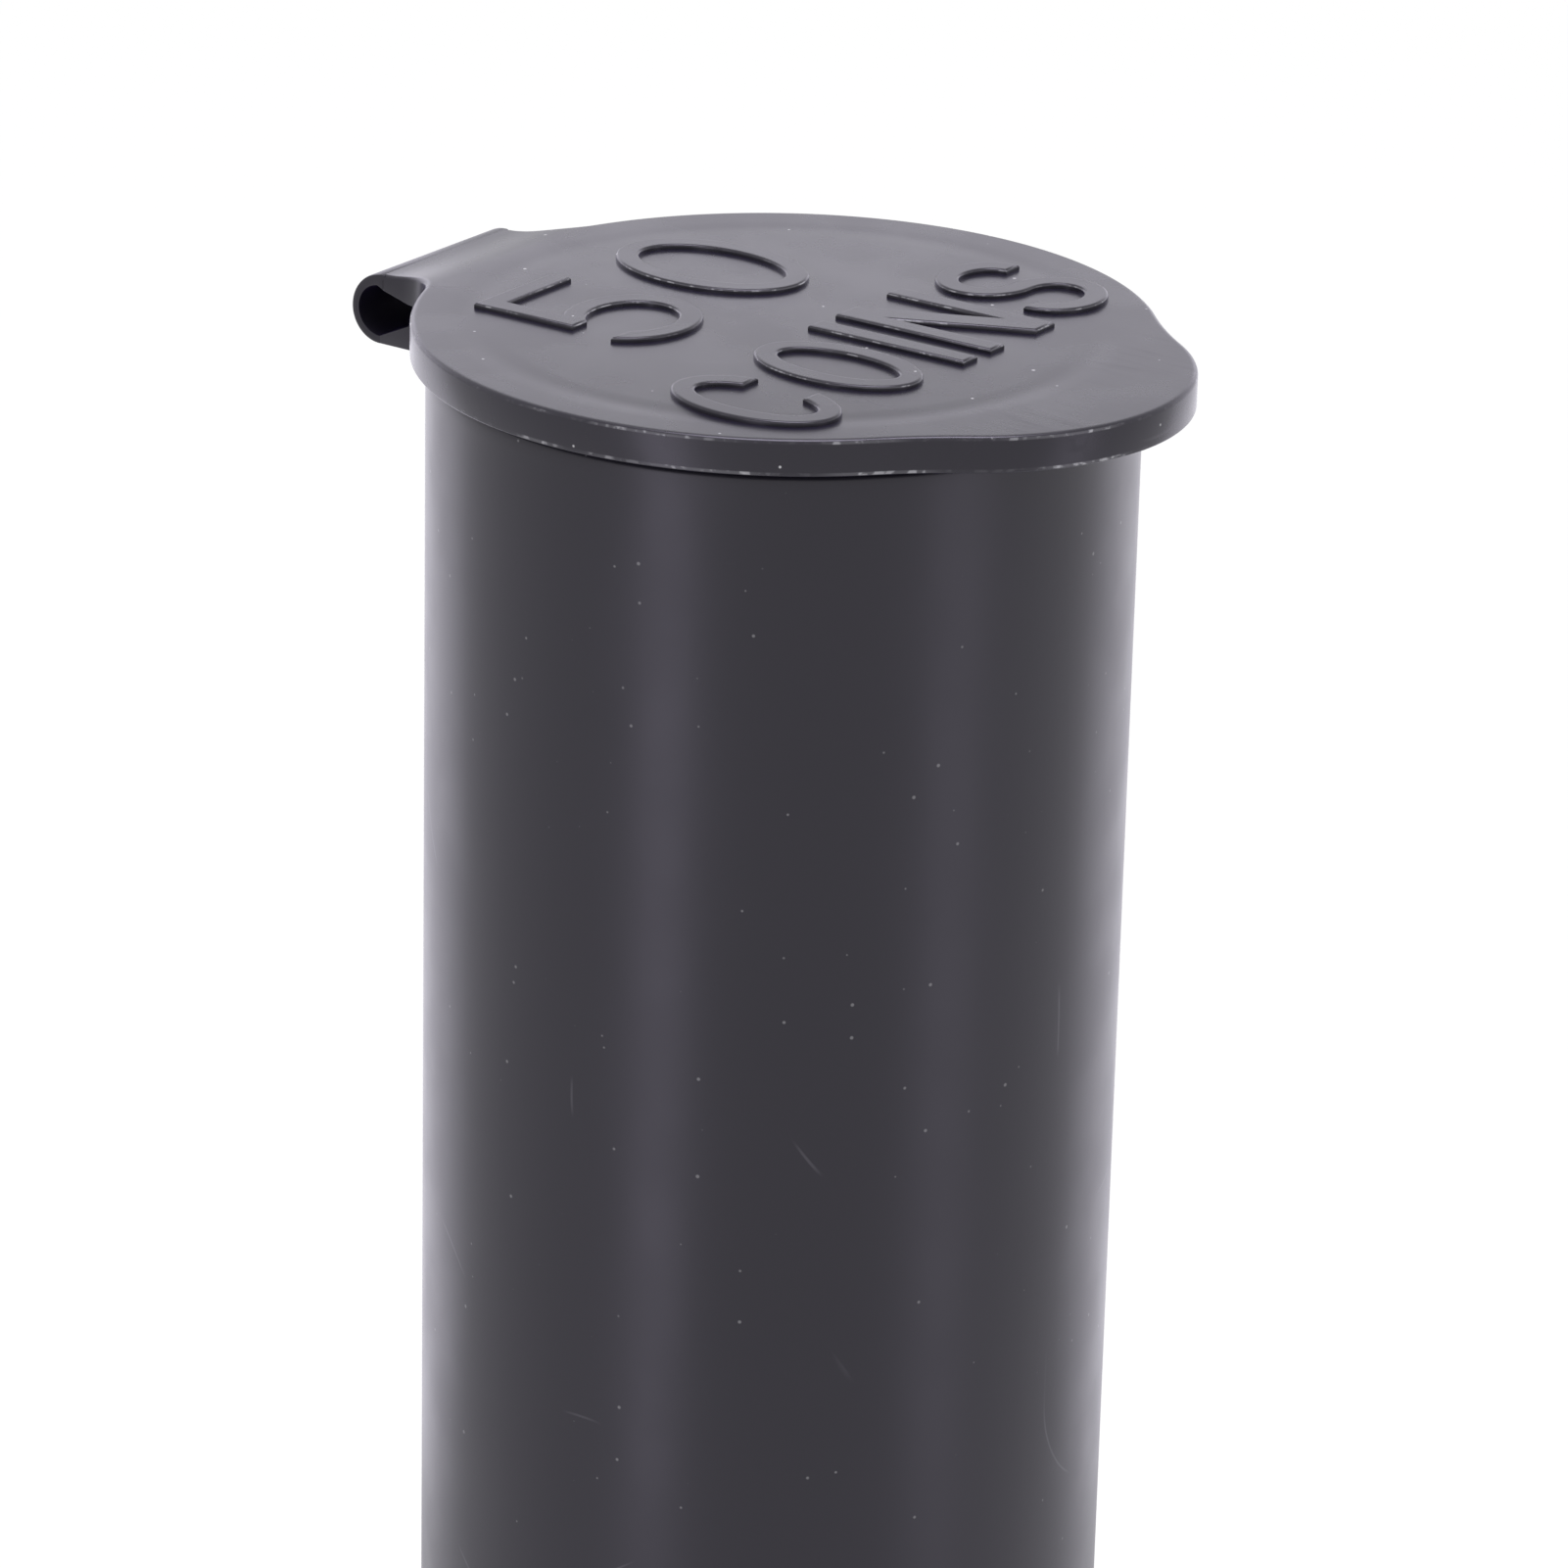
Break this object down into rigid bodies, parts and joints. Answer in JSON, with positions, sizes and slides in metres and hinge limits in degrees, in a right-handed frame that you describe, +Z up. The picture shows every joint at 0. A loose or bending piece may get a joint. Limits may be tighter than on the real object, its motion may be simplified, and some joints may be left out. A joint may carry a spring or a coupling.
{
  "type": "coin tube",
  "caption": "Round black plastic tube for a roll of small coins, with a flat thumb-tab lid on a looped living hinge and raised lettering.",
  "frame": {"origin": "middle of the base, on the surface that the tube stands on", "axes": "+Z up the tube towards the lid, +Y towards the hinge, -Y towards the thumb tab, +X along the lettering"},
  "size_m": [0.0214, 0.0259, 0.073],
  "materials": {
    "black_plastic": "satin moulded polypropylene"
  },
  "bodies": {
    "tube": {"tube_barrel": "black_plastic", "tube_floor": "black_plastic", "hinge_tube_lug": "black_plastic", "hinge_web_lower": "black_plastic"},
    "lid": {"hinge_web_upper": "black_plastic", "hinge_lid_land": "black_plastic", "lid_plate": "black_plastic", "lid_plug": "black_plastic", "lid_number": "black_plastic", "lid_word": "black_plastic"}
  },
  "joints": [
    {"name": "lid_swing", "type": "hinge", "parent": "tube", "child": "lid", "pos_m": [0, 0.01334, 0.07145], "axis": [-1, 0, 0], "range_deg": [0, 175]}
  ]
}
